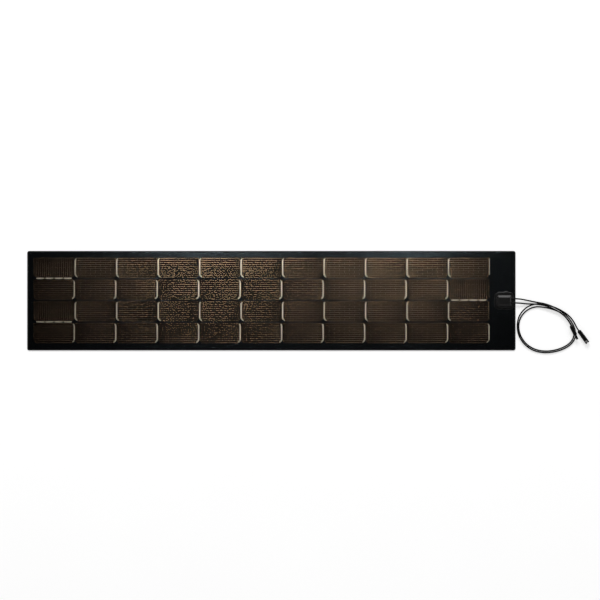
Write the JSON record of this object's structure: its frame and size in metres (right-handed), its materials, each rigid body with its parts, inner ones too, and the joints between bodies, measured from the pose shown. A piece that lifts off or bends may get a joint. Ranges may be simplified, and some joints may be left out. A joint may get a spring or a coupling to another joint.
{
  "type": "solar panel",
  "caption": "Long thin bendable solar panel: dark half-cut cells under clear film, low junction box at one end, two cables lying in a loop that end in plug connectors.",
  "frame": {"origin": "middle of the panel's underside", "axes": "+X along the panel towards the junction box, +Y across it towards the row of cells that the long cable's side faces, +Z out through the front film"},
  "size_m": [2.1404, 0.3902, 0.0242],
  "materials": {
    "back_sheet": "fine matt texture",
    "support_board": "woven glass and resin",
    "rear_encapsulant": "black pigmented",
    "front_encapsulant": "clear",
    "front_film": "clear, slightly dimpled",
    "edge_seal": "matt",
    "cover_film": "matt",
    "cell": "dark blue-brown silicon under an anti-reflection coat",
    "cell_grid": "tinned copper foil",
    "bus_ribbon": "tinned copper",
    "sealant": "smooth black adhesive",
    "box_base": "moulded",
    "box_lid": "moulded",
    "gasket_rubber": "soft",
    "terminal_metal": "tinned",
    "diode_plastic": "moulded",
    "boot_rubber": "moulded",
    "clamp_plastic": "moulded",
    "screw_steel": "zinc plated",
    "conductor": "fine tinned copper strands",
    "cable_jacket": "satin",
    "gland_nut": "moulded",
    "connector_plastic": "moulded",
    "contact_metal": "tinned copper"
  },
  "bodies": {
    "panel": {"back_sheet": "back_sheet", "box_conductor_ends": "conductor", "bus_cover_film": "cover_film", "bypass_diode": "diode_plastic", "cable_clamp": "clamp_plastic", "cell_row_1": "cell", "cell_row_2": "cell", "cell_row_3": "cell", "cell_row_4": "cell", "clamp_screws": "screw_steel", "edge_seal": "edge_seal", "front_encapsulant": "front_encapsulant", "front_film": "front_film", "grid_row_1": "cell_grid", "grid_row_2": "cell_grid", "grid_row_3": "cell_grid", "grid_row_4": "cell_grid", "junction_box_base": "box_base", "long_cable": "cable_jacket", "negative_bus_ribbon": "bus_ribbon", "negative_cable_boot": "boot_rubber", "negative_terminal": "terminal_metal", "pin_cable_seal": "gasket_rubber", "pin_conductor_end": "conductor", "pin_contact": "contact_metal", "pin_housing": "connector_plastic", "positive_bus_ribbon": "bus_ribbon", "positive_cable_boot": "boot_rubber", "positive_terminal": "terminal_metal", "rear_encapsulant": "rear_encapsulant", "sealant_bead": "sealant", "short_cable": "cable_jacket", "socket_cable_seal": "gasket_rubber", "socket_conductor_end": "conductor", "socket_contact": "contact_metal", "socket_housing": "connector_plastic", "socket_o_ring": "gasket_rubber", "support_board": "support_board"},
    "junction_box_lid": {"junction_box_lid": "box_lid", "lid_gasket": "gasket_rubber"},
    "socket_cage": {"socket_clamping_cage": "clamp_plastic"},
    "socket_nut": {"socket_gland_nut": "gland_nut"},
    "pin_cage": {"pin_clamping_cage": "clamp_plastic"},
    "pin_nut": {"pin_gland_nut": "gland_nut"},
    "upper_latch_arm": {"upper_latch_arm": "connector_plastic"},
    "lower_latch_arm": {"lower_latch_arm": "connector_plastic"}
  },
  "joints": [
    {"name": "lid_lift", "type": "slide", "parent": "panel", "child": "junction_box_lid", "axis": [0, 0, 1], "range_m": [0, 0.03]},
    {"name": "socket_cage_slide", "type": "slide", "parent": "panel", "child": "socket_cage", "axis": [-0.4213, 0.9069, 0], "range_m": [0, 0.0045]},
    {"name": "socket_nut_turn", "type": "hinge", "parent": "socket_cage", "child": "socket_nut", "pos_m": [1.14405, -0.10265, 0.0136], "axis": [-0.4213, 0.9069, 0], "range_deg": [0, 1081]},
    {"name": "pin_cage_slide", "type": "slide", "parent": "panel", "child": "pin_cage", "axis": [-0.5856, 0.8106, 0], "range_m": [0, 0.0045]},
    {"name": "pin_nut_turn", "type": "hinge", "parent": "pin_cage", "child": "pin_nut", "pos_m": [1.1751, -0.12063, 0.0085], "axis": [-0.5856, 0.8106, 0], "range_deg": [0, 1081]},
    {"name": "upper_latch_press", "type": "hinge", "parent": "panel", "child": "upper_latch_arm", "pos_m": [1.15724, -0.13104, 0.0199], "axis": [0.9069, 0.4213, 0], "range_deg": [0, 4], "stiffness_Nm_per_rad": 0.5},
    {"name": "lower_latch_press", "type": "hinge", "parent": "panel", "child": "lower_latch_arm", "pos_m": [1.15724, -0.13104, 0.0073], "axis": [-0.9069, -0.4213, 0], "range_deg": [0, 4], "stiffness_Nm_per_rad": 0.5}
  ],
  "couplings": [
    {"joint": "socket_nut_turn", "follows": "socket_cage_slide", "rad_per_m": 4188.8},
    {"joint": "pin_nut_turn", "follows": "pin_cage_slide", "rad_per_m": 4188.8}
  ]
}
